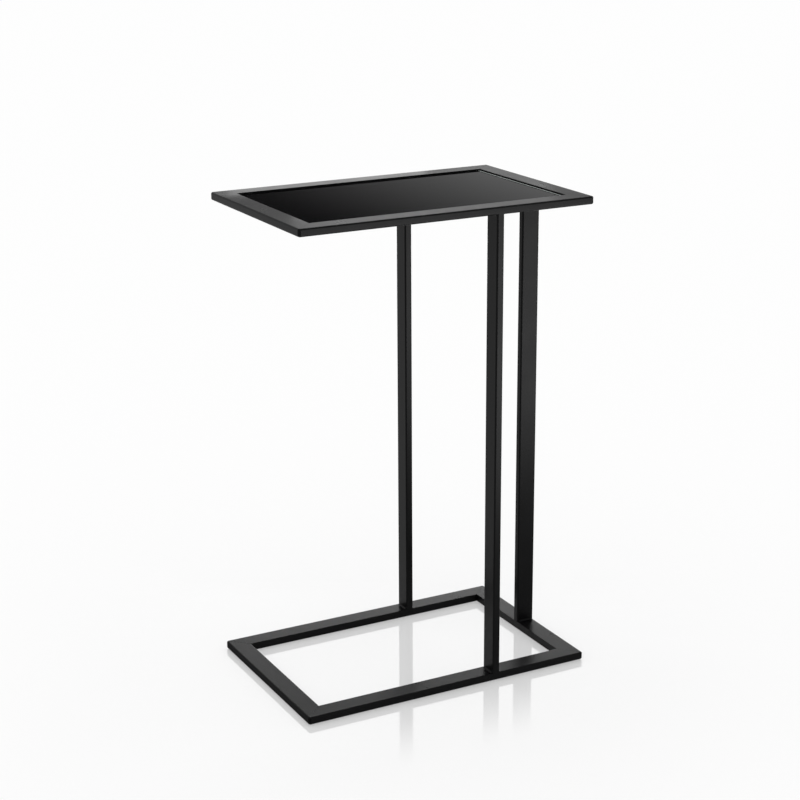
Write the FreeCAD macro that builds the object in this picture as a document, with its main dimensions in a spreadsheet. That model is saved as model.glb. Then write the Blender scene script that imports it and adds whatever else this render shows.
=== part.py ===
"""C-shaped side table: a welded frame of flat steel tube with an inset glass top.

Millimetres, +Z up. The origin lies on the floor under the middle of the base frame.
The long rails run along X, the open end of the C is at -X and the uprights stand towards +X.
"""
import FreeCAD, Part
import math
import os
import Sketcher

# Driving dimensions: name, value in millimetres, what it measures
SIZES = [
    ("frame_length", 400, "outside length of the top and base frames, along X"),
    ("frame_depth", 260, "outside depth of the top and base frames, along Y"),
    ("frame_height", 620, "underside of the base frame to the upper face of the top frame"),
    ("tube_width", 25, "wide side of the tube"),
    ("tube_height", 10, "narrow side of the tube"),
    ("tube_wall", 1.5, "wall of the tube"),
    ("bore_corner", 0.5, "corner radius inside the tube"),
    ("corner_dress", 3, "radius to which the outer frame corners are ground"),
    ("cut_margin", 1, "how far an end cut reaches past the tube"),
    ("leg_setback", 133, "post end of the frames to the middle of the front and rear legs"),
    ("cope_margin", 0.5, "how far a leg end stops short of the rail's upright side"),
    ("weld_size", 2.5, "height and width of a weld bead"),
    ("ledge_width", 10, "width of a glass ledge strip"),
    ("ledge_thickness", 1.5, "thickness of a glass ledge strip"),
    ("bumper_diameter", 8, "foot of a glass bumper"),
    ("bumper_crown", 7, "flat crown of a glass bumper"),
    ("bumper_height", 1, "height of a glass bumper"),
    ("bumper_inset", 60, "end of a long ledge to the middle of its bumper"),
    ("glass_thickness", 4, "thickness of the glass"),
    ("glass_gap", 1, "gap between the glass and the rails"),
    ("glass_recess", 2, "upper face of the top frame down to the upper face of the glass"),
    ("glass_corner", 3, "corner radius of the glass"),
    ("glass_arris", 0.6, "ground bevel along the edges of the glass"),
    ("pad_diameter", 18, "diameter of a floor pad"),
    ("pad_thickness", 1, "thickness of a floor pad"),
    ("pad_inset", 40, "end of a long base rail to the middle of its floor pad"),
]

# Places that several pieces share, worked out from the driving dimensions
TUBE_CORNER = "(Sizes.tube_wall + Sizes.bore_corner)"
BASE_LEVEL = "Sizes.pad_thickness"
BASE_TOP = "(Sizes.pad_thickness + Sizes.tube_height)"
TOP_LEVEL = "(Sizes.pad_thickness + Sizes.frame_height - Sizes.tube_height)"
LEG_LENGTH = "(Sizes.frame_height - 2 * Sizes.tube_height)"
LEG_X = "(Sizes.frame_length / 2 - Sizes.leg_setback)"
RAIL_Y = "(Sizes.frame_depth / 2 - Sizes.tube_width / 2)"
RAIL_X = "(Sizes.frame_length / 2 - Sizes.tube_width / 2)"
INNER_LENGTH = "(Sizes.frame_length - 2 * Sizes.tube_width)"
INNER_DEPTH = "(Sizes.frame_depth - 2 * Sizes.tube_width)"
GLASS_TOP = f"({TOP_LEVEL} + Sizes.tube_height - Sizes.glass_recess)"
GLASS_LEVEL = f"({GLASS_TOP} - Sizes.glass_thickness)"
BUMPER_LEVEL = f"({GLASS_LEVEL} - Sizes.bumper_height)"
LEDGE_LEVEL = f"({BUMPER_LEVEL} - Sizes.ledge_thickness)"

UP = FreeCAD.Vector(0, 0, 1)
ALONG_X = FreeCAD.Vector(1, 0, 0)

doc = FreeCAD.newDocument("c_side_table")
sheet = doc.addObject("Spreadsheet::Sheet", "Sizes")
for row, (alias, value, meaning) in enumerate(SIZES, start=1):
    sheet.set(f"A{row}", str(value))
    sheet.setAlias(f"A{row}", alias)
    sheet.set(f"B{row}", meaning)
doc.recompute()

# Finished sub-parts, in the order in which they are written
sub_parts = []


def number(expression):
    """Gives the present value of an expression on the sheet."""
    return float(sheet.evalExpression(expression))


def place(piece, x="0", y="0", z="0", turn=0, upside_down=False):
    """Turns a sub-part about Z, first tipped upside down if asked, and ties its place to the sheet."""
    tip = FreeCAD.Rotation(ALONG_X, 180 if upside_down else 0)
    rotation = FreeCAD.Rotation(UP, turn).multiply(tip)
    piece.Placement = FreeCAD.Placement(FreeCAD.Vector(0, 0, 0), rotation)
    for name, expression in zip("xyz", (x, y, z)):
        piece.setExpression(f"Placement.Base.{name}", expression)
    sub_parts.append(piece)


def new_body(label):
    """Starts a body whose label names its sub-part."""
    body = doc.addObject("PartDesign::Body", label)
    body.Label = label
    return body


def new_sketch(body, name, plane):
    """Starts a sketch on one of the body's own origin planes."""
    sketch = body.newObject("Sketcher::SketchObject", name)
    support = [feature for feature in body.Origin.OriginFeatures if feature.Role == plane][0]
    sketch.AttachmentSupport = [(support, "")]
    sketch.MapMode = "FlatFace"
    return sketch


def dimension(sketch, name, expression, kind, *elements):
    """Adds a named dimension to a sketch and ties it to the sheet."""
    index = sketch.addConstraint(Sketcher.Constraint(kind, *elements, number(expression)))
    sketch.renameConstraint(index, name)
    sketch.setExpression(f"Constraints.{name}", expression)


def rounded_rectangle(sketch, name, left, bottom, width, height, radius):
    """Draws a rectangle with round corners, dimensioned from the sheet."""
    x0, y0, r = number(left), number(bottom), number(radius)
    x1, y1 = x0 + number(width), y0 + number(height)
    point = FreeCAD.Vector
    ends = [
        (point(x0 + r, y0), point(x1 - r, y0)),
        (point(x1, y0 + r), point(x1, y1 - r)),
        (point(x1 - r, y1), point(x0 + r, y1)),
        (point(x0, y1 - r), point(x0, y0 + r)),
    ]
    centres = [
        point(x1 - r, y0 + r),
        point(x1 - r, y1 - r),
        point(x0 + r, y1 - r),
        point(x0 + r, y0 + r),
    ]
    sides = [sketch.addGeometry(Part.LineSegment(*pair)) for pair in ends]
    arcs = []
    for quarter, centre in enumerate(centres):
        start = (quarter - 1) * math.pi / 2
        circle = Part.Circle(centre, UP, r)
        arcs.append(sketch.addGeometry(Part.ArcOfCircle(circle, start, start + math.pi / 2)))
    for index in range(4):
        following = sides[(index + 1) % 4]
        sketch.addConstraint(Sketcher.Constraint("Tangent", sides[index], 2, arcs[index], 1))
        sketch.addConstraint(Sketcher.Constraint("Tangent", arcs[index], 2, following, 1))
        direction = "Vertical" if index % 2 else "Horizontal"
        sketch.addConstraint(Sketcher.Constraint(direction, sides[index]))
    for arc in arcs[1:]:
        sketch.addConstraint(Sketcher.Constraint("Equal", arcs[0], arc))
    dimension(sketch, f"{name}_radius", radius, "Radius", arcs[0])
    dimension(sketch, f"{name}_left", left, "DistanceX", -1, 1, sides[3], 1)
    dimension(sketch, f"{name}_bottom", bottom, "DistanceY", -1, 1, sides[0], 1)
    dimension(sketch, f"{name}_width", width, "DistanceX", sides[3], 1, sides[1], 1)
    dimension(sketch, f"{name}_height", height, "DistanceY", sides[0], 1, sides[2], 1)


def outline(sketch, name, corners):
    """Draws a closed outline through corners given as (x, y, radius of the side that follows).

    A side with a radius is a quarter arc that turns anticlockwise for a positive sign and
    clockwise for a negative one, written as ("+", radius) or ("-", radius); None is straight.
    """
    spots = [FreeCAD.Vector(number(x), number(y), 0) for x, y, bend in corners]
    joints = []
    for index, (x, y, bend) in enumerate(corners):
        here, there = spots[index], spots[(index + 1) % len(spots)]
        if bend is None:
            side = sketch.addGeometry(Part.LineSegment(here, there))
            joints.append((side, 1, 2))
            continue
        sign, radius = bend
        chord = there - here
        quarter_turn = FreeCAD.Vector(-chord.y, chord.x, 0)
        middle = (here + there) * 0.5
        centre = middle + quarter_turn * (0.5 if sign == "+" else -0.5)
        first, last = (here, there) if sign == "+" else (there, here)
        start = math.atan2(first.y - centre.y, first.x - centre.x)
        circle = Part.Circle(centre, UP, (here - centre).Length)
        side = sketch.addGeometry(Part.ArcOfCircle(circle, start, start + math.pi / 2))
        joints.append((side, 1, 2) if sign == "+" else (side, 2, 1))
        dimension(sketch, f"{name}_radius_{index}", radius, "Radius", side)
    for index, (x, y, bend) in enumerate(corners):
        side, start, end = joints[index]
        before, before_start, before_end = joints[index - 1]
        sketch.addConstraint(Sketcher.Constraint("Coincident", before, before_end, side, start))
        dimension(sketch, f"{name}_x_{index}", x, "DistanceX", -1, 1, side, start)
        dimension(sketch, f"{name}_y_{index}", y, "DistanceY", -1, 1, side, start)


def pad_both_ways(body, sketch, length):
    """Pads a sketch by half a length to each side of its plane."""
    pad = body.newObject("PartDesign::Pad", f"{sketch.Name}Pad")
    pad.Profile = sketch
    pad.SideType = "Symmetric"
    pad.setExpression("Length", length)
    return pad


def cut_through(body, sketch):
    """Cuts a sketch right through a body, to both sides of its plane, and tests that it cuts."""
    doc.recompute()
    before = body.Shape.Volume
    pocket = body.newObject("PartDesign::Pocket", f"{sketch.Name}Cut")
    pocket.Profile = sketch
    pocket.Type = "ThroughAll"
    pocket.SideType = "Symmetric"
    doc.recompute()
    if not body.Shape.Volume < before:
        raise RuntimeError(f"{pocket.Name} removes nothing from {body.Label}")


def tube_section(sketch, left, bottom, width, height):
    """Draws the hollow section of the tube."""
    rounded_rectangle(sketch, "outside", left, bottom, width, height, TUBE_CORNER)
    rounded_rectangle(
        sketch, "bore",
        f"{left} + Sizes.tube_wall", f"{bottom} + Sizes.tube_wall",
        f"{width} - 2 * Sizes.tube_wall", f"{height} - 2 * Sizes.tube_wall",
        "Sizes.bore_corner",
    )


def make_rail(label, run, across, level, turn):
    """Makes one mitred rail of a rectangular frame.

    In its own frame the rail runs along X with its outer side towards -Y, and the middle of the
    whole rectangular frame is at the origin. The run is the rail's outer length and the distance
    across is the frame's size at right angles to it.
    """
    body = new_body(label)
    section = new_sketch(body, f"{label}_section", "YZ_Plane")
    tube_section(section, f"-{across} / 2", "0", "Sizes.tube_width", "Sizes.tube_height")
    pad_both_ways(body, section, run)

    mitres = new_sketch(body, f"{label}_mitres", "XY_Plane")
    dressing = new_sketch(body, f"{label}_corners", "XY_Plane")
    outer = f"-{across} / 2"
    inner = f"-{across} / 2 + Sizes.tube_width"
    for name, end in (("start", "-1"), ("finish", "1")):
        tip = f"{end} * {run} / 2"
        outline(mitres, name, [
            (f"{end} * ({run} / 2 + Sizes.cut_margin)", f"{outer} - Sizes.cut_margin", None),
            (f"{end} * ({run} / 2 + Sizes.cut_margin)", f"{inner} + Sizes.cut_margin", None),
            (f"{end} * ({run} / 2 - Sizes.tube_width - Sizes.cut_margin)",
             f"{inner} + Sizes.cut_margin", None),
        ])
        outline(dressing, name, [
            (f"{end} * ({run} / 2 - Sizes.corner_dress)", outer,
             ("+" if end == "1" else "-", "Sizes.corner_dress")),
            (tip, f"{outer} + Sizes.corner_dress", None),
            (f"{end} * ({run} / 2 + Sizes.cut_margin)", f"{outer} + Sizes.corner_dress", None),
            (f"{end} * ({run} / 2 + Sizes.cut_margin)", f"{outer} - Sizes.cut_margin", None),
            (f"{end} * ({run} / 2 - Sizes.corner_dress)", f"{outer} - Sizes.cut_margin", None),
        ])
    cut_through(body, mitres)
    cut_through(body, dressing)
    place(body, z=level, turn=turn)


def make_leg(label, x, y, turn):
    """Makes one upright, with its wide side along Y before it is turned.

    In its own frame it stands on the origin. Each end wraps round the rounded edges of its rail,
    so that the narrow sides of the upright run on into the sides of the rail.
    """
    body = new_body(label)
    section = new_sketch(body, f"{label}_section", "XY_Plane")
    tube_section(
        section, "-Sizes.tube_height / 2", "-Sizes.tube_width / 2",
        "Sizes.tube_height", "Sizes.tube_width",
    )
    wrap = f"({TUBE_CORNER} - Sizes.cope_margin)"
    pad = body.newObject("PartDesign::Pad", f"{label}_pad")
    pad.Profile = section
    pad.SideType = "Two sides"
    pad.setExpression("Length", f"{LEG_LENGTH} + {wrap}")
    pad.setExpression("Length2", wrap)

    copes = new_sketch(body, f"{label}_copes", "YZ_Plane")
    side = "Sizes.tube_width / 2"
    flat = f"({side} - {TUBE_CORNER})"
    outline(copes, "base", [
        (f"-{side}", f"-{TUBE_CORNER}", ("-", TUBE_CORNER)),
        (f"-{flat}", "0", None),
        (flat, "0", ("-", TUBE_CORNER)),
        (side, f"-{TUBE_CORNER}", None),
    ])
    outline(copes, "top", [
        (f"-{side}", f"{LEG_LENGTH} + {TUBE_CORNER}", ("+", TUBE_CORNER)),
        (f"-{flat}", LEG_LENGTH, None),
        (flat, LEG_LENGTH, ("+", TUBE_CORNER)),
        (side, f"{LEG_LENGTH} + {TUBE_CORNER}", None),
    ])
    cut_through(body, copes)
    place(body, x, y, BASE_TOP, turn)


def make_weld(label, x, y, level, turn, upside_down):
    """Makes the pair of hollow-faced weld beads along the wide sides of one leg end."""
    body = new_body(label)
    section = new_sketch(body, f"{label}_section", "XZ_Plane")
    for name, end, bend in (("near", "-1", "+"), ("far", "1", "-")):
        face = f"{end} * Sizes.tube_height / 2"
        toe = f"{end} * (Sizes.tube_height / 2 + Sizes.weld_size)"
        outline(section, name, [
            (face, "0", None),
            (toe, "0", (bend, "Sizes.weld_size")),
            (face, "Sizes.weld_size", None),
        ])
    pad_both_ways(body, section, f"Sizes.tube_width - 2 * {TUBE_CORNER}")
    place(body, x, y, level, turn, upside_down)


def make_ledge(label, length, depth, x, y):
    """Makes one flat ledge strip, welded to the inside of the top frame."""
    strip = doc.addObject("Part::Box", label)
    strip.setExpression("Length", length)
    strip.setExpression("Width", depth)
    strip.setExpression("Height", "Sizes.ledge_thickness")
    place(strip, x, y, LEDGE_LEVEL)


def make_bumper(label, x, y):
    """Makes one clear bumper with a flat crown, stuck to a ledge."""
    bumper = doc.addObject("Part::Cone", label)
    bumper.setExpression("Radius1", "Sizes.bumper_diameter / 2")
    bumper.setExpression("Radius2", "Sizes.bumper_crown / 2")
    bumper.setExpression("Height", "Sizes.bumper_height")
    place(bumper, x, y, BUMPER_LEVEL)


def make_glass(label):
    """Makes the glass panel, with round corners and a ground arris along all its edges."""
    body = new_body(label)
    sketch = new_sketch(body, f"{label}_outline", "XY_Plane")
    length = f"({INNER_LENGTH} - 2 * Sizes.glass_gap)"
    depth = f"({INNER_DEPTH} - 2 * Sizes.glass_gap)"
    rounded_rectangle(
        sketch, "edge", f"-{length} / 2", f"-{depth} / 2", length, depth, "Sizes.glass_corner",
    )
    pad = body.newObject("PartDesign::Pad", f"{label}_pad")
    pad.Profile = sketch
    pad.setExpression("Length", "Sizes.glass_thickness")
    doc.recompute()
    broad = [
        f"Face{index}"
        for index, face in enumerate(pad.Shape.Faces, start=1)
        if abs(face.normalAt(0, 0).z) > 0.5
    ]
    arris = body.newObject("PartDesign::Chamfer", f"{label}_arris")
    arris.Base = (pad, broad)
    arris.setExpression("Size", "Sizes.glass_arris")
    place(body, z=GLASS_LEVEL)


def make_pad(label, x, y):
    """Makes one thin floor pad, stuck under a long base rail."""
    disc = doc.addObject("Part::Cylinder", label)
    disc.setExpression("Radius", "Sizes.pad_diameter / 2")
    disc.setExpression("Height", "Sizes.pad_thickness")
    place(disc, x, y)


# Top and base frames: long rails at front and rear, short rails at the open end and the post end
for frame, level in (("base", BASE_LEVEL), ("top", TOP_LEVEL)):
    for side, turn in (("front", 0), ("rear", 180)):
        make_rail(f"{frame}_{side}_rail", "Sizes.frame_length", "Sizes.frame_depth", level, turn)
    for side, turn in (("open_end", -90), ("post_end", 90)):
        make_rail(f"{frame}_{side}_rail", "Sizes.frame_depth", "Sizes.frame_length", level, turn)

# Uprights with their welds: two on the long rails and one, turned across, on the post end rails
for leg, x, y, turn in (
    ("front_leg", LEG_X, f"-{RAIL_Y}", 0),
    ("rear_leg", LEG_X, RAIL_Y, 0),
    ("end_leg", RAIL_X, "0", 90),
):
    make_leg(leg, x, y, turn)
    make_weld(f"{leg}_base_weld", x, y, BASE_TOP, turn, upside_down=False)
    make_weld(f"{leg}_top_weld", x, y, TOP_LEVEL, turn, upside_down=True)

# Glass ledges: the long strips reach from end rail to end rail, the short strips fit between them
SHORT_LEDGE = f"({INNER_DEPTH} - 2 * Sizes.ledge_width)"
make_ledge("front_glass_ledge", INNER_LENGTH, "Sizes.ledge_width",
           f"-{INNER_LENGTH} / 2", f"-{INNER_DEPTH} / 2")
make_ledge("rear_glass_ledge", INNER_LENGTH, "Sizes.ledge_width",
           f"-{INNER_LENGTH} / 2", f"{INNER_DEPTH} / 2 - Sizes.ledge_width")
make_ledge("open_end_glass_ledge", "Sizes.ledge_width", SHORT_LEDGE,
           f"-{INNER_LENGTH} / 2", f"-{SHORT_LEDGE} / 2")
make_ledge("post_end_glass_ledge", "Sizes.ledge_width", SHORT_LEDGE,
           f"{INNER_LENGTH} / 2 - Sizes.ledge_width", f"-{SHORT_LEDGE} / 2")

# Bumpers: two on each long ledge and one on the middle of each short ledge
BUMPER_X = f"({INNER_LENGTH} / 2 - Sizes.bumper_inset)"
LONG_LEDGE_Y = f"({INNER_DEPTH} / 2 - Sizes.ledge_width / 2)"
SHORT_LEDGE_X = f"({INNER_LENGTH} / 2 - Sizes.ledge_width / 2)"
for index, (x, y) in enumerate([
    (f"-{BUMPER_X}", f"-{LONG_LEDGE_Y}"),
    (BUMPER_X, f"-{LONG_LEDGE_Y}"),
    (SHORT_LEDGE_X, "0"),
    (BUMPER_X, LONG_LEDGE_Y),
    (f"-{BUMPER_X}", LONG_LEDGE_Y),
    (f"-{SHORT_LEDGE_X}", "0"),
], start=1):
    make_bumper(f"glass_bumper_{index}", x, y)

make_glass("glass_top")

# Floor pads near the four corners of the base frame
PAD_X = "(Sizes.frame_length / 2 - Sizes.pad_inset)"
for index, (x, y) in enumerate([
    (f"-{PAD_X}", f"-{RAIL_Y}"),
    (PAD_X, f"-{RAIL_Y}"),
    (PAD_X, RAIL_Y),
    (f"-{PAD_X}", RAIL_Y),
], start=1):
    make_pad(f"floor_pad_{index}", x, y)

doc.recompute()
for item in doc.Objects:
    if "Invalid" in item.State or "Error" in item.State:
        raise RuntimeError(f"{item.Label} failed to recompute")
for piece in sub_parts:
    if piece.Shape.isNull() or not piece.Shape.isValid():
        raise RuntimeError(f"{piece.Label} has no valid shape")

os.makedirs("parts", exist_ok=True)
for piece in sub_parts:
    piece.Shape.exportStep(f"parts/{piece.Label}.step")
    print(f"{piece.Label}: {len(piece.Shape.Solids)} solid(s), {piece.Shape.Volume:.1f} mm3")
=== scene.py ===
"""Side table with a C-shaped side view: its visual model, finishes and studio.

A base frame and a top frame of 25 x 10 mm steel tube are joined by three uprights near one end.
A loose sheet of black glass lies on clear bumpers inside the top frame. All lengths are in metres.
"""

import logging
import math
from dataclasses import dataclass
from enum import Enum

import bmesh
import bpy
from mathutils import Matrix, Vector


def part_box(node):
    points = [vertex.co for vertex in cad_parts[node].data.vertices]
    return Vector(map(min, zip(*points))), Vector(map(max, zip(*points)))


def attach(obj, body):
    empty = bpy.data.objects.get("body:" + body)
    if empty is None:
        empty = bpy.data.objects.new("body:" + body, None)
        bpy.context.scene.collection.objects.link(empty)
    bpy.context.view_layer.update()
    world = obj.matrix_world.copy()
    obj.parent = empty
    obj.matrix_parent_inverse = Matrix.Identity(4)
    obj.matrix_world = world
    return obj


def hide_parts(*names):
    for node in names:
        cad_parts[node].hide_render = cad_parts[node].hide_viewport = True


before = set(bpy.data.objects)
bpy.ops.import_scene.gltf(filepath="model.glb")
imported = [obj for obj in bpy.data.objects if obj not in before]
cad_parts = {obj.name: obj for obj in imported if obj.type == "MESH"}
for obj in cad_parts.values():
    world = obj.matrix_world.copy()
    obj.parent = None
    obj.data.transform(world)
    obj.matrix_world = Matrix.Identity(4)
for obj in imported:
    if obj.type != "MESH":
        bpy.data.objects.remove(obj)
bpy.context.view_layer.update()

LOG = logging.getLogger("side_table")
MM = 0.001
TINY = 1e-6
UP = Vector((0.0, 0.0, 1.0))
WHITE = "#ffffff"
DISC_STEPS = 40
DISC_EDGE_STEPS = 3
RIM_ANGLE = math.radians(30)
SHARP_ANGLE = math.radians(60)
# Nearly all values of a noise texture lie in this range.
NOISE_SPREAD = {"From Min": 0.3, "From Max": 0.7}
# A card's UV map runs from 0 to 1 both ways.
SHEET_HALF = 0.5


class Body(Enum):
    """The bodies that a piece can ride on."""

    FRAME = "frame"
    GLASS = "glass"


class Slot(Enum):
    """The material slots of the record."""

    COAT = "frame_powder_coat"
    GLASS = "black_glass"
    BUMPER = "clear_bumper"
    PAD = "floor_pad"


class Side(Enum):
    """The four sides of a rectangular frame, each with its name and the way it faces."""

    FRONT = ("front", (0.0, -1.0, 0.0))
    REAR = ("rear", (0.0, 1.0, 0.0))
    OPEN_END = ("open_end", (-1.0, 0.0, 0.0))
    POST_END = ("post_end", (1.0, 0.0, 0.0))

    @property
    def label(self) -> str:
        """The side's name, as the CAD nodes use it."""
        return self.value[0]

    @property
    def outward(self) -> Vector:
        """The way the side faces."""
        return Vector(self.value[1])

    @property
    def along(self) -> Vector:
        """The way the side runs."""
        return UP.cross(self.outward)


class Shown(Enum):
    """The kind of reflection that shows a studio card."""

    EVERY = "every"
    SHARP = "sharp"
    SATIN = "satin"


class LegEnd(Enum):
    """The two ends of an upright, each with the way from its rail into the upright."""

    BASE = ("base", 1.0)
    TOP = ("top", -1.0)

    @property
    def label(self) -> str:
        """The end's name, as the CAD nodes use it."""
        return self.value[0]

    @property
    def away(self) -> Vector:
        """The way from the rail into the upright."""
        return UP * self.value[1]


def linear(hex_colour: str) -> tuple[float, float, float, float]:
    """Turns an sRGB hex colour into linear RGBA.

    Args:
        hex_colour: The colour as "#rrggbb".

    Returns:
        Linear red, green and blue, and an alpha of 1.
    """
    # The numbers of the curve are those of the sRGB standard.
    shares = [int(hex_colour[i:i + 2], 16) / 255 for i in (1, 3, 5)]
    red, green, blue = (s / 12.92 if s <= 0.04045 else ((s + 0.055) / 1.055) ** 2.4 for s in shares)
    return red, green, blue, 1.0


def add_node(
    tree: bpy.types.NodeTree,
    kind: str,
    values: dict | None = None,
    links: dict | None = None,
    **settings: object,
) -> bpy.types.Node:
    """Adds one node with its settings, its fixed inputs and its links.

    Args:
        tree: The node tree that gets the node.
        kind: The node's type name.
        values: Fixed values by input name or number.
        links: Output sockets by the input name or number that they feed.
        **settings: Properties of the node itself.

    Returns:
        The new node.
    """
    node = tree.nodes.new(kind)
    for key, value in settings.items():
        setattr(node, key, value)
    for key, value in (values or {}).items():
        node.inputs[key].default_value = value
    for key, socket in (links or {}).items():
        tree.links.new(socket, node.inputs[key])
    return node


def per_metre(size: float) -> float:
    """The texture scale whose pattern repeats about once in the given length."""
    return 1.0 / size


def blank_material(name: str) -> bpy.types.Material:
    """Makes a material with a plain shader in its node tree.

    Args:
        name: The material's name.

    Returns:
        The new material.
    """
    material = bpy.data.materials.new(name)
    material.use_nodes = True
    return material


class Finish:
    """A surface finish: one procedural material, named for the real one."""

    name: str = ""

    def material(self) -> bpy.types.Material:
        """Makes the material of the finish.

        Returns:
            A new material whose shader the finish has set.
        """
        material = blank_material(self.name)
        tree = material.node_tree
        self.dress(tree, tree.nodes["Principled BSDF"])
        return material

    def dress(self, tree: bpy.types.NodeTree, shader: bpy.types.Node) -> None:
        """Sets the shader's sockets and adds the pattern nodes.

        Args:
            tree: The material's node tree.
            shader: Its Principled shader.
        """
        raise NotImplementedError


@dataclass(frozen=True)
class PowderCoat(Finish):
    """Black polyester powder, sprayed on welded steel and cured in an oven."""

    # The eye sees a satin black skin: a soft sheen, a fine orange peel, and slow clouds in the
    # gloss where the film is thicker. The peel is drawn twice as coarse as the real one's 1 mm.
    name: str = "black_powder_coat"
    deep: str = "#080808"
    pale: str = "#0e0e0f"
    peel: float = 2.0 * MM
    peel_depth: float = 0.02 * MM
    peel_lift: float = 0.5
    cloud: float = 55.0 * MM
    glossy: float = 0.27
    dull: float = 0.33
    ior: float = 1.5
    specular: float = 0.05

    def dress(self, tree: bpy.types.NodeTree, shader: bpy.types.Node) -> None:
        """Clouds steer the colour and the gloss, and the peel lifts the surface.

        Args:
            tree: The material's node tree.
            shader: Its Principled shader.
        """
        shader.inputs["IOR"].default_value = self.ior
        shader.inputs["Specular IOR Level"].default_value = self.specular
        place = add_node(tree, "ShaderNodeTexCoord").outputs["Object"]
        clouds = add_node(
            tree,
            "ShaderNodeTexNoise",
            {"Scale": per_metre(self.cloud), "Detail": 3.0},
            {"Vector": place},
        ).outputs["Fac"]
        peel = add_node(
            tree,
            "ShaderNodeTexNoise",
            {"Scale": per_metre(self.peel), "Detail": 2.0},
            {"Vector": place},
        ).outputs["Fac"]
        tint = add_node(
            tree,
            "ShaderNodeMix",
            {6: linear(self.deep), 7: linear(self.pale)},
            {0: clouds},
            data_type="RGBA",
        )
        gloss = add_node(
            tree,
            "ShaderNodeMapRange",
            {**NOISE_SPREAD, "To Min": self.glossy, "To Max": self.dull},
            {"Value": clouds},
        )
        bump = add_node(
            tree,
            "ShaderNodeBump",
            {"Strength": self.peel_lift, "Distance": self.peel_depth},
            {"Height": peel},
        )
        tree.links.new(tint.outputs[2], shader.inputs["Base Color"])
        tree.links.new(gloss.outputs["Result"], shader.inputs["Roughness"])
        tree.links.new(bump.outputs["Normal"], shader.inputs["Normal"])


@dataclass(frozen=True)
class BlackGlass(Finish):
    """Toughened float glass, black right through, with its fire-polished face up."""

    # The eye sees a deep black mirror: sharp reflections, strongest at a low angle, that waver a
    # little from the rollers of the oven, over a trace of haze left by wiping.
    name: str = "black_float_glass"
    body: str = "#030304"
    haze: str = "#08080a"
    wave: float = 90.0 * MM
    wave_depth: float = 0.004 * MM
    wave_lift: float = 0.5
    wipe: float = 35.0 * MM
    wipe_swirl: float = 0.6
    ior: float = 1.52
    roughness: float = 0.0

    def dress(self, tree: bpy.types.NodeTree, shader: bpy.types.Node) -> None:
        """A roller wave bends the face, and wiping marks leave a haze on it.

        Args:
            tree: The material's node tree.
            shader: Its Principled shader.
        """
        shader.inputs["IOR"].default_value = self.ior
        shader.inputs["Roughness"].default_value = self.roughness
        place = add_node(tree, "ShaderNodeTexCoord").outputs["Object"]
        wipe = add_node(
            tree,
            "ShaderNodeTexNoise",
            {"Scale": per_metre(self.wipe), "Detail": 4.0, "Distortion": self.wipe_swirl},
            {"Vector": place},
        ).outputs["Fac"]
        wave = add_node(
            tree,
            "ShaderNodeTexNoise",
            {"Scale": per_metre(self.wave), "Detail": 0.0},
            {"Vector": place},
        ).outputs["Fac"]
        tint = add_node(
            tree,
            "ShaderNodeMix",
            {6: linear(self.body), 7: linear(self.haze)},
            {0: wipe},
            data_type="RGBA",
        )
        bump = add_node(
            tree,
            "ShaderNodeBump",
            {"Strength": self.wave_lift, "Distance": self.wave_depth},
            {"Height": wave},
        )
        tree.links.new(tint.outputs[2], shader.inputs["Base Color"])
        tree.links.new(bump.outputs["Normal"], shader.inputs["Normal"])


@dataclass(frozen=True)
class GroundGlass(Finish):
    """The ground rim of the glass sheet, cut by a diamond wheel, and pale strips that paint a
    highlight.
    """

    # The eye sees a matt grey-green frost, with the fine scratches of the wheel in it. The tones
    # are set pale, so that strips of it on the glass's face paint a highlight along its short ends.
    name: str = "ground_glass_rim_and_glint"
    frost_and_glint: str = "#6f7674"
    scratch_and_glint: str = "#a3aaa7"
    grit: float = 0.8 * MM
    grit_depth: float = 0.03 * MM
    grit_lift: float = 0.4
    ior: float = 1.52
    roughness: float = 0.55

    def dress(self, tree: bpy.types.NodeTree, shader: bpy.types.Node) -> None:
        """Wheel scratches vary the pale tone, which also paints a highlight, and score the rim.

        Args:
            tree: The material's node tree.
            shader: Its Principled shader.
        """
        shader.inputs["IOR"].default_value = self.ior
        shader.inputs["Roughness"].default_value = self.roughness
        place = add_node(tree, "ShaderNodeTexCoord").outputs["Object"]
        grit = add_node(
            tree,
            "ShaderNodeTexNoise",
            {"Scale": per_metre(self.grit), "Detail": 3.0},
            {"Vector": place},
        ).outputs["Fac"]
        tint = add_node(
            tree,
            "ShaderNodeMix",
            {6: linear(self.frost_and_glint), 7: linear(self.scratch_and_glint)},
            {0: grit},
            data_type="RGBA",
        )
        bump = add_node(
            tree,
            "ShaderNodeBump",
            {"Strength": self.grit_lift, "Distance": self.grit_depth},
            {"Height": grit},
        )
        tree.links.new(tint.outputs[2], shader.inputs["Base Color"])
        tree.links.new(bump.outputs["Normal"], shader.inputs["Normal"])


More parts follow.
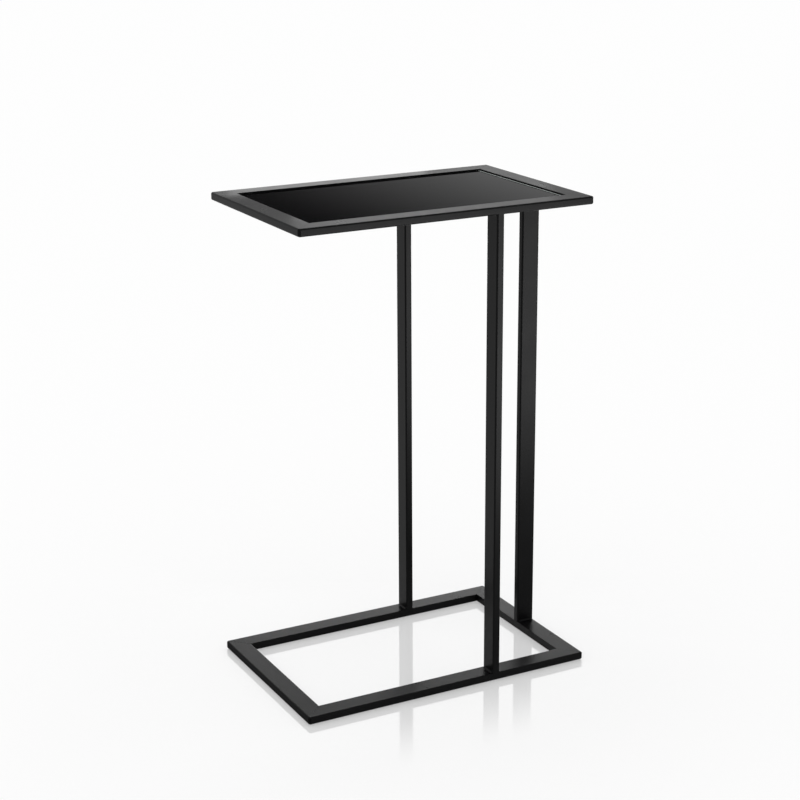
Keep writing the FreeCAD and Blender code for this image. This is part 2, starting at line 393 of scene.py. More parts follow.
@dataclass(frozen=True)
class ClearPolyurethane(Finish):
    """Clear cast polyurethane of a stick-on bumper."""

    # The eye sees a soft, water-clear drop with a slight haze where dust has settled on it.
    name: str = "clear_polyurethane"
    tint: str = "#e9edee"
    haze: float = 2.5 * MM
    glossy: float = 0.12
    dull: float = 0.32
    ior: float = 1.49
    clearness: float = 0.9

    def dress(self, tree: bpy.types.NodeTree, shader: bpy.types.Node) -> None:
        """Haze steers the gloss of a clear body.

        Args:
            tree: The material's node tree.
            shader: Its Principled shader.
        """
        shader.inputs["Base Color"].default_value = linear(self.tint)
        shader.inputs["IOR"].default_value = self.ior
        shader.inputs["Transmission Weight"].default_value = self.clearness
        place = add_node(tree, "ShaderNodeTexCoord").outputs["Object"]
        haze = add_node(
            tree,
            "ShaderNodeTexNoise",
            {"Scale": per_metre(self.haze), "Detail": 2.0},
            {"Vector": place},
        ).outputs["Fac"]
        gloss = add_node(
            tree,
            "ShaderNodeMapRange",
            {**NOISE_SPREAD, "To Min": self.glossy, "To Max": self.dull},
            {"Value": haze},
        )
        tree.links.new(gloss.outputs["Result"], shader.inputs["Roughness"])


@dataclass(frozen=True)
class FoamRubber(Finish):
    """Black closed-cell foam rubber of a stick-on floor pad."""

    # The eye sees a dull dark grey with small pores, a little dusty. The pores are drawn at 1 mm,
    # about three times the real ones.
    name: str = "black_foam_rubber"
    cell: str = "#0f0f10"
    dust: str = "#1d1c1b"
    pore: float = 1.0 * MM
    pore_depth: float = 0.1 * MM
    pore_lift: float = 0.6
    roughness: float = 0.85
    specular: float = 0.25

    def dress(self, tree: bpy.types.NodeTree, shader: bpy.types.Node) -> None:
        """Pores pit the surface and hold the dust.

        Args:
            tree: The material's node tree.
            shader: Its Principled shader.
        """
        shader.inputs["Roughness"].default_value = self.roughness
        shader.inputs["Specular IOR Level"].default_value = self.specular
        place = add_node(tree, "ShaderNodeTexCoord").outputs["Object"]
        pores = add_node(
            tree, "ShaderNodeTexVoronoi", {"Scale": per_metre(self.pore)}, {"Vector": place}
        ).outputs["Distance"]
        tint = add_node(
            tree,
            "ShaderNodeMix",
            {6: linear(self.dust), 7: linear(self.cell)},
            {0: pores},
            data_type="RGBA",
        )
        bump = add_node(
            tree,
            "ShaderNodeBump",
            {"Strength": self.pore_lift, "Distance": self.pore_depth},
            {"Height": pores},
        )
        tree.links.new(tint.outputs[2], shader.inputs["Base Color"])
        tree.links.new(bump.outputs["Normal"], shader.inputs["Normal"])


def round_edges(bm: bmesh.types.BMesh, edges: list, radius: float, steps: int) -> None:
    """Rounds edges of a mesh.

    Args:
        bm: The mesh.
        edges: The edges to round.
        radius: The radius of the round.
        steps: The number of faces across it.
    """
    bmesh.ops.bevel(
        bm,
        geom=edges,
        offset=radius,
        offset_type="OFFSET",
        affect="EDGES",
        segments=steps,
        profile=0.5,
        material=-1,
    )


def slice_off(bm: bmesh.types.BMesh, point: Vector, normal: Vector) -> list[bmesh.types.BMFace]:
    """Cuts away what lies beyond a plane and closes the cut.

    Args:
        bm: The mesh.
        point: A point on the plane.
        normal: The plane's normal, which points at what goes.

    Returns:
        The faces that close the cut.
    """
    cut = bmesh.ops.bisect_plane(
        bm,
        geom=bm.verts[:] + bm.edges[:] + bm.faces[:],
        dist=TINY,
        plane_co=point,
        plane_no=normal,
        clear_outer=True,
    )
    rim = [item for item in cut["geom_cut"] if isinstance(item, bmesh.types.BMEdge)]
    return bmesh.ops.edgeloop_fill(bm, edges=rim)["faces"]


def rise(edge: bmesh.types.BMEdge) -> float:
    """The height between an edge's two ends."""
    return abs(edge.verts[0].co.z - edge.verts[1].co.z)


def rounded_slab(
    bm: bmesh.types.BMesh, low: Vector, high: Vector, corner: float, edge: float, steps: int
) -> None:
    """Makes a flat slab with rounded corners and rounded upper and lower edges.

    Args:
        bm: The empty mesh that gets the slab.
        low: The slab's lowest corner.
        high: Its highest corner.
        corner: The radius of the upright corners.
        edge: The radius of the upper and lower edges.
        steps: The number of faces across each round.
    """
    size = high - low
    bmesh.ops.create_cube(bm, size=1.0, matrix=Matrix.LocRotScale((low + high) / 2, None, size))
    round_edges(bm, [e for e in bm.edges if rise(e) > TINY], corner, steps)
    round_edges(bm, [e for e in bm.edges if rise(e) < TINY], edge, steps)


def turned_disc(
    bm: bmesh.types.BMesh, centre: Vector, foot: float, crown: float, height: float, edge: float
) -> None:
    """Turns a low round disc about an upright axis and rounds its two rims.

    Args:
        bm: The empty mesh that gets the disc.
        centre: The middle of its lower face.
        foot: The radius of the lower face.
        crown: The radius of the upper face.
        height: The disc's height.
        edge: The radius of the rims.
    """
    corners = ((0.0, 0.0), (foot, 0.0), (crown, height), (0.0, height))
    outline = [bm.verts.new(centre + Vector((out, 0.0, up))) for out, up in corners]
    edges = [bm.edges.new(pair) for pair in zip(outline, outline[1:])]
    bmesh.ops.spin(
        bm,
        geom=outline + edges,
        cent=centre,
        axis=UP,
        angle=math.tau,
        steps=DISC_STEPS,
        use_merge=True,
    )
    bmesh.ops.remove_doubles(bm, verts=bm.verts[:], dist=TINY)
    rims = [e for e in bm.edges if rise(e) < TINY and e.calc_face_angle(0.0) > RIM_ANGLE]
    round_edges(bm, rims, edge, DISC_EDGE_STEPS)


def finished_mesh(
    bm: bmesh.types.BMesh, name: str, finishes: list[bpy.types.Material]
) -> bpy.types.Mesh:
    """Turns a finished bmesh into a mesh with its materials.

    Args:
        bm: The bmesh, which is freed.
        name: The mesh's name.
        finishes: Its materials, in slot order.

    Returns:
        The new mesh.
    """
    mesh = bpy.data.meshes.new(name)
    bm.to_mesh(mesh)
    bm.free()
    for finish in finishes:
        mesh.materials.append(finish)
    return mesh


def new_piece(
    bm: bmesh.types.BMesh, name: str, finishes: list[bpy.types.Material]
) -> bpy.types.Object:
    """Turns a finished bmesh into an object at the origin, with even smooth shading.

    Args:
        bm: The bmesh, which is freed.
        name: The piece's name.
        finishes: Its materials, in slot order.

    Returns:
        The new object.
    """
    bmesh.ops.recalc_face_normals(bm, faces=bm.faces[:])
    mesh = finished_mesh(bm, name, finishes)
    mesh.shade_smooth()
    mesh.set_sharp_from_angle(angle=SHARP_ANGLE)
    piece = bpy.data.objects.new(name, mesh)
    bpy.context.scene.collection.objects.link(piece)
    piece.modifiers.new("even_shading", "WEIGHTED_NORMAL").keep_sharp = True
    return piece


def fit(piece: bpy.types.Object, body: Body, slot: Slot, *nodes: str) -> None:
    """Puts a piece on its body, in place of its CAD nodes.

    Args:
        piece: The piece.
        body: The body that it rides on.
        slot: The record's slot for its finish. It is not used.
        *nodes: The CAD nodes that it stands for.
    """
    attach(piece, body.value)
    if nodes:
        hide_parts(*nodes)
    LOG.info("%s rides on %s: %d faces", piece.name, body.value, len(piece.data.polygons))


@dataclass
class WeldRun:
    """A fillet weld under the coat: a hollow bead with the ripples of the pool along it."""

    pitch: float = 1.75 * MM
    ripple: float = 0.10
    taper: float = 0.45
    sink: float = 0.2 * MM
    arc_steps: int = 6
    ripple_steps: int = 4

    def swell(self, share: float, ripples: int) -> float:
        """The bead's size at one place along it.

        Args:
            share: The place, from 0 at one end to 1 at the other.
            ripples: The number of ripples in the run.

        Returns:
            The size as a share of the full one.
        """
        end = min(1.0, ripples * min(share, 1.0 - share))
        rounded = self.taper + (1.0 - self.taper) * math.sqrt(end * (2.0 - end))
        return rounded * (1.0 - self.ripple * abs(math.sin(math.pi * share * ripples)))

    def lay(
        self,
        bm: bmesh.types.BMesh,
        foot: Vector,
        along: Vector,
        out: Vector,
        size: float,
        length: float,
        up: Vector,
    ) -> None:
        """Lays one run in the corner between two faces.

        Args:
            bm: The mesh that gets the run.
            foot: The middle of the corner line.
            along: The way the line runs.
            out: The way out of the corner on the first face.
            size: The bead's width on each face.
            length: The length of the run.
            up: The way out of the corner on the second face.
        """
        start = len(bm.verts)
        toe = bm.verts.new((0.0, size, 0.0))
        bmesh.ops.spin(
            bm,
            geom=[toe],
            cent=(0.0, size, size),
            axis=(1.0, 0.0, 0.0),
            angle=-math.pi / 2,
            steps=self.arc_steps,
        )
        bm.verts.new((0.0, -self.sink, -self.sink))
        bm.verts.ensure_lookup_table()
        face = bm.faces.new(bm.verts[start:])
        ripples = round(length / self.pitch)
        stations = ripples * self.ripple_steps
        last = 1.0
        for station in range(stations + 1):
            if station:
                grown = bmesh.ops.extrude_face_region(bm, geom=[face])["geom"]
                face = next(item for item in grown if isinstance(item, bmesh.types.BMFace))
                bmesh.ops.translate(bm, verts=face.verts[:], vec=(length / stations, 0.0, 0.0))
            now = self.swell(station / stations, ripples)
            bmesh.ops.scale(bm, verts=face.verts[:], vec=(1.0, now / last, now / last))
            last = now
        place = Matrix((along, out, up)).transposed().to_4x4()
        place.translation = foot - along * length / 2
        bm.verts.ensure_lookup_table()
        bmesh.ops.transform(bm, verts=bm.verts[start:], matrix=place)


@dataclass
class TubeRing:
    """Four mitred tubes welded into a rectangle: the base frame or the top frame."""

    level: str
    coat: bpy.types.Material
    edge: float = 2.0 * MM
    corner: float = 3.2 * MM
    seam: float = 0.2 * MM
    steps: int = 6
    seam_steps: int = 2

    def node(self, side: Side) -> str:
        """The CAD node of the tube on one side."""
        return f"{self.level}_{side.label}_rail"

    def tube(self, side: Side) -> bpy.types.Object:
        """Cuts one tube out of a slab of the whole frame's outline.

        Args:
            side: The side of the frame that the tube is on.

        Returns:
            The tube, with a hairline of a groove left at its mitres.
        """
        boxes = [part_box(self.node(each)) for each in Side]
        low = Vector(map(min, *(box[0] for box in boxes)))
        high = Vector(map(max, *(box[1] for box in boxes)))
        own_low, own_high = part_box(self.node(side))
        centre, half = (low + high) / 2, (high - low) / 2
        out, along = side.outward, side.along
        reach, run = abs(half.dot(out)), abs(half.dot(along))
        width = abs((own_high - own_low).dot(out))
        bm = bmesh.new()
        rounded_slab(bm, low, high, self.corner, self.edge, self.steps)
        inner = slice_off(bm, centre + out * (reach - width), -out)
        lips = [e for face in inner for e in face.edges if rise(e) < TINY and e.calc_length() > run]
        round_edges(bm, lips, self.edge, self.steps)
        mitres = []
        for way in (along, -along):
            mitres += slice_off(bm, centre + out * reach + way * run, way - out)
        seams = list({e for face in mitres for e in face.edges})
        round_edges(bm, seams, self.seam, self.seam_steps)
        return new_piece(bm, f"{self.level}_{side.label}_tube", [self.coat])

    def build(self) -> None:
        """Builds the four tubes and puts each in place of its CAD rail."""
        for side in Side:
            fit(self.tube(side), Body.FRAME, Slot.COAT, self.node(side))


@dataclass
class Uprights:
    """The three flat tubes between the frames, and the welds at their ends."""

    coat: bpy.types.Material
    weld: WeldRun
    names: tuple[str, ...] = ("front_leg", "rear_leg", "end_leg")

    def dress(self) -> None:
        """Gives the CAD uprights their coat."""
        for name in self.names:
            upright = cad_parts[name]
            upright.data.materials.clear()
            upright.data.materials.append(self.coat)
            LOG.info("%s keeps its CAD shape", name)

    def weld_end(self, name: str, end: LegEnd) -> bpy.types.Object:
        """Lays the two welds at one end of an upright.

        Args:
            name: The upright.
            end: The end of it.

        Returns:
            Both runs as one piece.
        """
        leg_low, leg_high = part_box(name)
        low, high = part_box(f"{name}_{end.label}_weld")
        leg = leg_high - leg_low
        out, along = Vector((1.0, 0.0, 0.0)), Vector((0.0, 1.0, 0.0))
        if leg.x > leg.y:
            out, along = along, out
        foot = (low + high) / 2
        foot.z = low.z if end is LegEnd.BASE else high.z
        size, length = high.z - low.z, abs((high - low).dot(along))
        bm = bmesh.new()
        for way in (out, -out):
            corner = foot + way * leg.dot(out) / 2
            self.weld.lay(bm, corner, along, way, size, length, end.away)
        return new_piece(bm, f"{name}_{end.label}_bead", [self.coat])

    def build(self) -> None:
        """Coats the uprights and lays their welds in place of the CAD ones."""
        self.dress()
        for name in self.names:
            for end in LegEnd:
                fit(self.weld_end(name, end), Body.FRAME, Slot.COAT, f"{name}_{end.label}_weld")


@dataclass
class GlassSeat:
    """The ledge inside the top frame that carries the glass, with its tack welds and bumpers."""

    coat: bpy.types.Material
    clear: bpy.types.Material
    weld: WeldRun
    edge: float = 0.3 * MM
    edge_steps: int = 3
    tack_length: float = 10.5 * MM
    tack_size: float = 1.2 * MM
    tack_lean: float = 30.0
    tack_spacing: float = 110.0 * MM
    bumpers: int = 6
    bumper_crown: float = 3.5 * MM
    bumper_edge: float = 0.25 * MM

    def bar(self, side: Side) -> bpy.types.Object:
        """Makes one flat bar of the ledge, with its corners eased.

        Args:
            side: The side of the frame that the bar is on.

        Returns:
            The bar.
        """
        low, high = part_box(f"{side.label}_glass_ledge")
        bm = bmesh.new()
        rounded_slab(bm, low, high, self.edge, self.edge, self.edge_steps)
        return new_piece(bm, f"{side.label}_ledge_bar", [self.coat])

    def tacks(self, side: Side) -> bpy.types.Object:
        """Lays the tack welds under one bar.

        Args:
            side: The side of the frame that the bar is on.

        Returns:
            The tacks of that bar as one piece.
        """
        low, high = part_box(f"{side.label}_glass_ledge")
        out, along = side.outward, side.along
        middle, size = (low + high) / 2, high - low
        lean = math.radians(self.tack_lean)
        count = round(abs(size.dot(along)) / self.tack_spacing)
        bm = bmesh.new()
        for place in range(count):
            foot = middle + out * abs(size.dot(out)) / 2
            foot += along * self.tack_spacing * (place - (count - 1) / 2)
            foot.z = low.z
            down = out * math.sin(lean) - UP * math.cos(lean)
            self.weld.lay(bm, foot, along, -out, self.tack_size, self.tack_length, down)
        return new_piece(bm, f"{side.label}_ledge_tacks", [self.coat])

    def bumper(self, number: int) -> bpy.types.Object:
        """Turns one bumper.

        Args:
            number: The bumper's number.

        Returns:
            The bumper.
        """
        low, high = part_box(f"glass_bumper_{number}")
        foot = (low + high) / 2
        foot.z = low.z
        radius, height = (high.x - low.x) / 2, high.z - low.z
        bm = bmesh.new()
        turned_disc(bm, foot, radius, self.bumper_crown, height, self.bumper_edge)
        return new_piece(bm, f"clear_bumper_{number}", [self.clear])

    def build(self) -> None:
        """Builds the bars, the tacks and the bumpers."""
        for side in Side:
            fit(self.bar(side), Body.FRAME, Slot.COAT, f"{side.label}_glass_ledge")
            fit(self.tacks(side), Body.FRAME, Slot.COAT)
        for number in range(1, self.bumpers + 1):
            fit(self.bumper(number), Body.FRAME, Slot.BUMPER, f"glass_bumper_{number}")


@dataclass
class GlassTop:
    """The loose black glass sheet."""

    face: bpy.types.Material
    rim: bpy.types.Material
    corner: float = 3.0 * MM
    arris: float = 0.6 * MM
    # The pale strip at each short end of the face is a painted highlight.
    glint_band: float = 1.6 * MM
    steps: int = 4
    flat: float = 0.99

    def build(self) -> None:
        """Builds the sheet in place of the CAD one.

        Its face has the first slot. The second is for the ground rim, and for a narrow strip along
        each short end of the face that paints a highlight: the lit ground edge seen through the
        glass.
        """
        low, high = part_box("glass_top")
        bm = bmesh.new()
        rounded_slab(bm, low, high, self.corner, self.arris, self.steps)
        bm.normal_update()
        for face in bm.faces:
            face.material_index = 0 if abs(face.normal.z) > self.flat else 1
        upper = max(bm.faces, key=lambda f: f.normal.z * f.calc_area())
        for strip in bmesh.ops.inset_region(bm, faces=[upper], thickness=self.glint_band)["faces"]:
            # Strips at the short ends get the pale ground finish, which paints a highlight along
            # the edge.
            paints_glint = abs(strip.calc_center_median().x) > high.x - self.corner
            strip.material_index = 1 if paints_glint else 0
        sheet = new_piece(bm, "glass_sheet", [self.face, self.rim])
        fit(sheet, Body.GLASS, Slot.GLASS, "glass_top")


@dataclass
class FloorPads:
    """The four stick-on pads under the base frame."""

    foam: bpy.types.Material
    count: int = 4
    edge: float = 0.3 * MM

    def build(self) -> None:
        """Builds the pads in place of the CAD ones."""
        for number in range(1, self.count + 1):
            low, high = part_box(f"floor_pad_{number}")
            foot = (low + high) / 2
            foot.z = low.z
            radius = (high.x - low.x) / 2
            bm = bmesh.new()
            turned_disc(bm, foot, radius, radius, high.z - low.z, self.edge)
            piece = new_piece(bm, f"foam_pad_{number}", [self.foam])
            fit(piece, Body.FRAME, Slot.PAD, f"floor_pad_{number}")


def show_in_reflections(item: bpy.types.Object) -> None:
    """Puts a piece of the studio into the scene for reflections alone.

    Args:
        item: The object.
    """
    item.visible_camera = False
    item.visible_diffuse = False
    item.visible_shadow = False
    bpy.context.scene.collection.objects.link(item)


def seen(tree: bpy.types.NodeTree) -> bpy.types.NodeSocket:
    """Tells what is seen, by itself, mirrored or through something clear, from what only lights.

    Args:
        tree: The node tree of a material or a world.

    Returns:
        One for a ray that shows the surface, nought for one that only gathers light.
    """
    rays = add_node(tree, "ShaderNodeLightPath").outputs
    shown = rays["Is Camera Ray"]
    for kind in ("Is Glossy Ray", "Is Transmission Ray"):
        shown = add_node(
            tree, "ShaderNodeMath", None, {0: shown, 1: rays[kind]}, operation="ADD", use_clamp=True
        ).outputs["Value"]
    return shown


def shine(tree: bpy.types.NodeTree, light: bpy.types.Node, cover: bpy.types.NodeSocket) -> None:
    """Makes a studio surface glow where it is covered and clear where it isn't.

    Args:
        tree: The material's node tree.
        light: The glow.
        cover: One where the surface shows, nought where it is clear.
    """
    clear = add_node(tree, "ShaderNodeBsdfTransparent").outputs["BSDF"]
    glow = light.outputs["Emission"]
    both = add_node(tree, "ShaderNodeMixShader", None, {0: cover, 1: clear, 2: glow})
    tree.links.new(both.outputs["Shader"], tree.nodes["Material Output"].inputs["Surface"])


@dataclass(frozen=True)
class Card:
    """A studio card that faces the table and shows in its reflections only."""

    # The azimuth, from the rear towards the closed end, and the tilt are in degrees.
    name: str
    azimuth: float
    distance: float
    height: float
    size: tuple[float, float]
    tone: float
    shift: float = 0.0
    tilt: float = 0.0
    feather: float = 0.3
    shown: Shown = Shown.SATIN

    def light(self, tree: bpy.types.NodeTree) -> bpy.types.Node:
        """The card's glow, the same all over."""
        return add_node(tree, "ShaderNodeEmission", {"Strength": self.tone})

    def cover(self, tree: bpy.types.NodeTree) -> bpy.types.NodeSocket:
        """Works out where the card shows: on its front, and fading towards its edges.

        Args:
            tree: The material's node tree.

        Returns:
            One where the card shows, nought where it is clear.
        """
        sheet = add_node(tree, "ShaderNodeTexCoord").outputs["UV"]
        centred = add_node(
            tree,
            "ShaderNodeVectorMath",
            {1: (SHEET_HALF, SHEET_HALF, 0.0)},
            {0: sheet},
            operation="SUBTRACT",
        ).outputs["Vector"]
        apart = add_node(
            tree, "ShaderNodeVectorMath", None, {0: centred}, operation="ABSOLUTE"
        ).outputs["Vector"]
        axes = add_node(tree, "ShaderNodeSeparateXYZ", None, {"Vector": apart}).outputs
        edge = add_node(
            tree, "ShaderNodeMath", None, {0: axes["X"], 1: axes["Y"]}, operation="MAXIMUM"
        ).outputs["Value"]
        cover = add_node(
            tree,
            "ShaderNodeMapRange",
            {"From Min": SHEET_HALF, "From Max": SHEET_HALF * (1.0 - self.feather)},
            {"Value": edge},
            interpolation_type="SMOOTHSTEP",
        ).outputs["Result"]
        hidden = [add_node(tree, "ShaderNodeNewGeometry").outputs["Backfacing"]]
        shares = []
        if self.shown is not Shown.EVERY:
            sharp = add_node(tree, "ShaderNodeLightPath").outputs["Is Singular Ray"]
            (shares if self.shown is Shown.SHARP else hidden).append(sharp)
        for share in hidden:
            rest = add_node(tree, "ShaderNodeMath", {0: 1.0}, {1: share}, operation="SUBTRACT")
            shares.append(rest.outputs["Value"])
        for share in shares:
            cover = add_node(
                tree, "ShaderNodeMath", None, {0: cover, 1: share}, operation="MULTIPLY"
            ).outputs["Value"]
        return cover

    def glow(self) -> bpy.types.Material:
        """Makes the card's material from its glow and its cover.

        Returns:
            The material.
        """
        material = blank_material(f"{self.name}_tone")
        tree = material.node_tree
        shine(tree, self.light(tree), self.cover(tree))
        return material

    def build(self) -> None:
        """Sets the card at its place in the studio, upright or tilted over the table."""
        lean = Matrix.Rotation(math.pi / 2 + math.radians(self.tilt), 4, "X")
        bm = bmesh.new()
        bm.loops.layers.uv.new()
        bmesh.ops.create_grid(
            bm,
            x_segments=1,
            y_segments=1,
            size=SHEET_HALF,
            matrix=lean @ Matrix.Diagonal((*self.size, 1.0, 1.0)),
            calc_uvs=True,
        )
        card = bpy.data.objects.new(self.name, finished_mesh(bm, self.name, [self.glow()]))
        turn = math.radians(self.azimuth)
        place = Vector((self.shift, self.distance, self.height))
        card.location = Matrix.Rotation(-turn, 3, "Z") @ place
        card.rotation_euler = (0.0, 0.0, -turn)
        show_in_reflections(card)


@dataclass(frozen=True)
class SlopedCard(Card):
    """A studio card that gets brighter along one direction of its face."""

    bright: float = 1.0
    slope: tuple[float, float, float] = (1.0, 0.0, 0.0)
    fade: tuple[float, float] = (-1.0, 1.0)
    curve: float = 1.0

    def light(self, tree: bpy.types.NodeTree) -> bpy.types.Node:
        """Makes the card's glow, which rises along its slope.

        Args:
            tree: The material's node tree.

        Returns:
            The glow.
        """
        place = add_node(tree, "ShaderNodeTexCoord").outputs["Object"]
        climb = add_node(
            tree, "ShaderNodeVectorMath", {1: self.slope}, {0: place}, operation="DOT_PRODUCT"
        ).outputs["Value"]
        share = add_node(
            tree,
            "ShaderNodeMapRange",
            {"From Min": self.fade[0], "From Max": self.fade[1]},
            {"Value": climb},
        ).outputs["Result"]
        eased = add_node(
            tree, "ShaderNodeMath", {1: self.curve}, {0: share}, operation="POWER"
        ).outputs["Value"]
        tone = add_node(
            tree,
            "ShaderNodeMapRange",
            {"To Min": self.tone, "To Max": self.bright},
            {"Value": eased},
        ).outputs["Result"]
        return add_node(tree, "ShaderNodeEmission", None, {"Strength": tone})


@dataclass(frozen=True)
class DarkRing:
    """A dark wall all round the studio, for the glass to mirror."""

    radius: float = 8.4
    foot: float = 0.3
    dark_to: float = 2.2
    top: float = 6.5
    dark: float = 0.06
    pale: float = 0.35
    steps: int = 96

    def glow(self) -> bpy.types.Material:
        """Makes the wall's material, dark low down and paler above, for sharp mirrors alone.

        Returns:
            The material.
        """
        material = blank_material("dark_ring_tone")
        tree = material.node_tree
        place = add_node(tree, "ShaderNodeTexCoord").outputs["Object"]
        height = add_node(tree, "ShaderNodeSeparateXYZ", None, {"Vector": place}).outputs["Z"]
        tone = add_node(
            tree,
            "ShaderNodeMapRange",
            {
                "From Min": self.dark_to,
                "From Max": self.top,
                "To Min": self.dark,
                "To Max": self.pale,
            },
            {"Value": height},
            interpolation_type="SMOOTHSTEP",
        ).outputs["Result"]
        light = add_node(tree, "ShaderNodeEmission", None, {"Strength": tone})
        shine(tree, light, add_node(tree, "ShaderNodeLightPath").outputs["Is Singular Ray"])
        return material

    def build(self) -> None:
        """Sets the wall up round the table."""
        bm = bmesh.new()
        bmesh.ops.create_cone(
            bm,
            cap_ends=False,
            segments=self.steps,
            radius1=self.radius,
            radius2=self.radius,
            depth=self.top - self.foot,
            matrix=Matrix.Translation((self.top + self.foot) / 2 * UP),
        )
        mesh = finished_mesh(bm, "dark_ring", [self.glow()])
        show_in_reflections(bpy.data.objects.new("dark_ring", mesh))


@dataclass
class Studio:
    """A plain white studio: glossy floor near the table, soft light and the photograph's camera."""

    surround_colour: str = "#fefefe"
    floor_colour: str = "#fafafa"
    floor_reach: float = 40.0
    floor_white: float = 0.5
    gloss: float = 0.48
    gloss_roughness: float = 0.05
    # Where the floor's gloss is nought and where it is full: first by the angle of the look, then
    # by the place along four ways over the floor.
    gloss_steep: tuple[float, float] = (0.48, 0.545)
    gloss_grazing: tuple[float, float] = (0.68, 0.63)
    gloss_limits: tuple[tuple[tuple[float, float, float], float, float], ...] = (
        ((0.0, 1.0, 0.0), -0.29, -0.13),
        ((0.468, 0.884, 0.0), 0.27, 0.16),
        ((0.884, -0.468, 0.0), -0.42, -0.25),
        ((0.884, -0.468, 0.0), 0.42, 0.25),
    )
    ambient: float = 0.88
    sun_power: float = 0.48
    sun_angle: float = 60.0
    sun_azimuth: float = 30.0
    sun_height: float = 68.0
    sun_distance: float = 3.0
    # Each card has a name, an azimuth, a distance, a height, a size and a tone.
    cards: tuple[Card, ...] = (
        # What the glass mirrors in the main view: dark on the left, paler to the right.
        SlopedCard(
            "dark_card",
            28.0,
            8.0,
            2.2,
            (3.0, 0.8),
            0.016,
            feather=0.35,
            shown=Shown.SHARP,
            bright=0.26,
            slope=(1.0, 0.0, -2.76),
            fade=(-0.75, 1.0),
            curve=1.55,
        ),
        # A bright bank behind the table for the tops of all rails.
        Card("rear_bank", 30.5, 3.0, 2.32, (0.86, 0.52), 17.0, feather=0.6),
        # A pale strip for the far rail, and dark flags for the left rail and the near right corner.
        Card("rear_strip", 0.0, 0.18, 0.634, (0.31, 0.022), 2.15, shift=-0.01, feather=0.15),
        Card("left_flag", 0.0, 0.107, 0.661, (0.105, 0.078), 0.45, shift=-0.148, feather=0.1),
        Card("right_flag", 90.0, 0.22, 0.641, (0.2, 0.038), 0.5, shift=0.07, feather=0.6),
        # A low light behind the table for the tops of the base rails.
        Card("rear_low", 28.0, 1.3, 0.27, (1.6, 0.22), 8.0),
        # Light from the floor in front, and a dark card on the floor beside the base's open end:
        # painted shade that stands for the floor's shadow there, seen only in reflections.
        Card("front_bounce", 152.0, 2.8, 0.003, (1.3, 4.4), 11.0, tilt=-90.0, shown=Shown.EVERY),
        Card("dark_foot", 270.0, 0.26, 0.002, (0.5, 0.13), 0.2, tilt=-90.0, feather=0.1),
        # What the glass mirrors when it is seen from above.
        Card("dark_ceiling", 0.0, 0.0, 2.6, (7.4, 7.4), 0.02, tilt=90.0, shown=Shown.SHARP),
    )
    ring: DarkRing = DarkRing()
    camera_place: tuple[float, float, float] = (-1.06848, -2.01224, 1.05400)
    camera_yaw: float = -27.9117
    camera_pitch: float = -17.0697
    camera_roll: float = -0.3254
    camera_lens: float = 83.855
    camera_sensor: float = 36.0

    def lacquer(self) -> bpy.types.Material:
        """Makes the floor's white lacquer, which mirrors near the table and is matt further out.

        Its shadows are drawn half as dark as they fall, as in a studio with a lit floor.

        Returns:
            The material.
        """
        material = blank_material("white_lacquered_floor")
        tree = material.node_tree
        matt = tree.nodes["Principled BSDF"]
        matt.inputs["Base Color"].default_value = linear(self.floor_colour)
        matt.inputs["Roughness"].default_value = 1.0
        matt.inputs["Specular IOR Level"].default_value = 0.0
        place = add_node(tree, "ShaderNodeTexCoord").outputs["Object"]
        facing = add_node(tree, "ShaderNodeLayerWeight").outputs["Facing"]
        share = add_node(
            tree, "ShaderNodeMath", {1: self.gloss}, {0: facing}, operation="MULTIPLY"
        ).outputs["Value"]
        limits = [(facing, *self.gloss_steep), (facing, *self.gloss_grazing)]
        for way, clear, full in self.gloss_limits:
            out = add_node(
                tree, "ShaderNodeVectorMath", {1: way}, {0: place}, operation="DOT_PRODUCT"
            ).outputs["Value"]
            limits.append((out, clear, full))
        for out, clear, full in limits:
            fade = add_node(
                tree,
                "ShaderNodeMapRange",
                {"From Min": clear, "From Max": full},
                {"Value": out},
                interpolation_type="SMOOTHSTEP",
            ).outputs["Result"]
            share = add_node(
                tree, "ShaderNodeMath", None, {0: share, 1: fade}, operation="MULTIPLY"
            ).outputs["Value"]
        mirror = add_node(
            tree,
            "ShaderNodeBsdfGlossy",
            {"Color": linear(WHITE), "Roughness": self.gloss_roughness},
        ).outputs["BSDF"]
        glow = add_node(tree, "ShaderNodeEmission", {"Strength": 1.0}).outputs["Emission"]
        lift = add_node(
            tree, "ShaderNodeMath", {1: self.floor_white}, {0: seen(tree)}, operation="MULTIPLY"
        ).outputs["Value"]
        white = add_node(
            tree, "ShaderNodeMixShader", None, {0: lift, 1: matt.outputs["BSDF"], 2: glow}
        ).outputs["Shader"]
        both = add_node(tree, "ShaderNodeMixShader", None, {0: share, 1: white, 2: mirror})
        tree.links.new(both.outputs["Shader"], tree.nodes["Material Output"].inputs["Surface"])
        return material

    def floor(self) -> None:
        """Lays the white floor."""
        bm = bmesh.new()
        bmesh.ops.create_grid(bm, x_segments=1, y_segments=1, size=self.floor_reach)
        mesh = finished_mesh(bm, "studio_floor", [self.lacquer()])
        floor = bpy.data.objects.new("studio_floor", mesh)
        bpy.context.scene.collection.objects.link(floor)

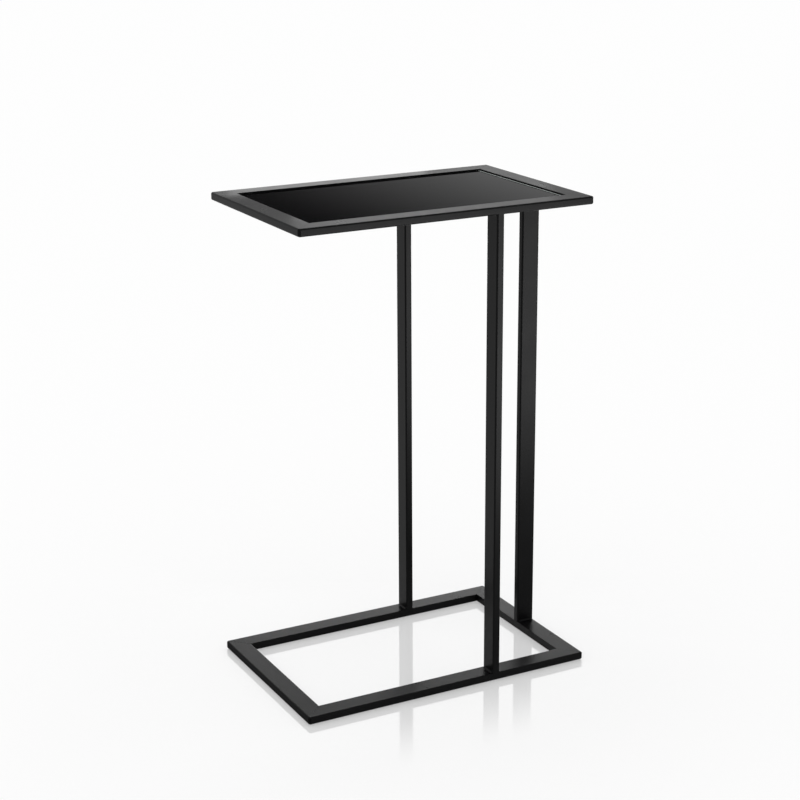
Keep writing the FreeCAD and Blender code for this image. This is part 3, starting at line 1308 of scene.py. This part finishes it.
    def world(self) -> None:
        """Makes a white surround that lights the table at a plain level."""
        world = bpy.data.worlds.new("white_studio")
        bpy.context.scene.world = world
        world.use_nodes = True
        tree = world.node_tree
        soft = tree.nodes["Background"]
        soft.inputs["Color"].default_value = linear(WHITE)
        soft.inputs["Strength"].default_value = self.ambient
        white = add_node(
            tree,
            "ShaderNodeBackground",
            {"Color": linear(self.surround_colour), "Strength": 1.0},
        )
        both = add_node(
            tree,
            "ShaderNodeMixShader",
            None,
            {0: seen(tree), 1: soft.outputs["Background"], 2: white.outputs["Background"]},
        )
        tree.links.new(both.outputs["Shader"], tree.nodes["World Output"].inputs["Surface"])

    def lamp(self) -> None:
        """Hangs one very broad soft light above and behind the table."""
        light = bpy.data.lights.new("overhead_softlight", "SUN")
        light.energy = self.sun_power
        light.angle = math.radians(self.sun_angle)
        lamp = bpy.data.objects.new("overhead_softlight", light)
        turn = Matrix.Rotation(-math.radians(self.sun_azimuth), 4, "Z")
        turn @= Matrix.Rotation(math.radians(self.sun_height - 90.0), 4, "X")
        lamp.matrix_world = turn @ Matrix.Translation(self.sun_distance * UP)
        bpy.context.scene.collection.objects.link(lamp)

    def camera(self) -> None:
        """Puts the camera where the photograph was taken from."""
        data = bpy.data.cameras.new("photo_camera")
        data.sensor_width = self.camera_sensor
        data.lens = self.camera_lens
        camera = bpy.data.objects.new("photo_camera", data)
        turn = Matrix.Rotation(math.radians(self.camera_yaw), 4, "Z")
        turn @= Matrix.Rotation(math.radians(90.0 + self.camera_pitch), 4, "X")
        turn @= Matrix.Rotation(math.radians(self.camera_roll), 4, "Z")
        camera.matrix_world = Matrix.Translation(self.camera_place) @ turn
        bpy.context.scene.collection.objects.link(camera)
        bpy.context.scene.camera = camera

    def build(self) -> None:
        """Sets up the studio and plain colour management."""
        bpy.context.scene.view_settings.view_transform = "Standard"
        self.camera()
        self.floor()
        self.world()
        self.lamp()
        for card in self.cards:
            card.build()
        self.ring.build()
        LOG.info("studio is set")


def main() -> None:
    """Builds the studio and the table, piece by piece."""
    logging.basicConfig(level=logging.INFO, format="%(name)s: %(message)s")
    Studio().build()
    coat = PowderCoat().material()
    weld = WeldRun()
    for level in ("base", "top"):
        TubeRing(level, coat).build()
    Uprights(coat, weld).build()
    GlassSeat(coat, ClearPolyurethane().material(), weld).build()
    GlassTop(BlackGlass().material(), GroundGlass().material()).build()
    FloorPads(FoamRubber().material()).build()


if __name__ == "__main__":
    main()
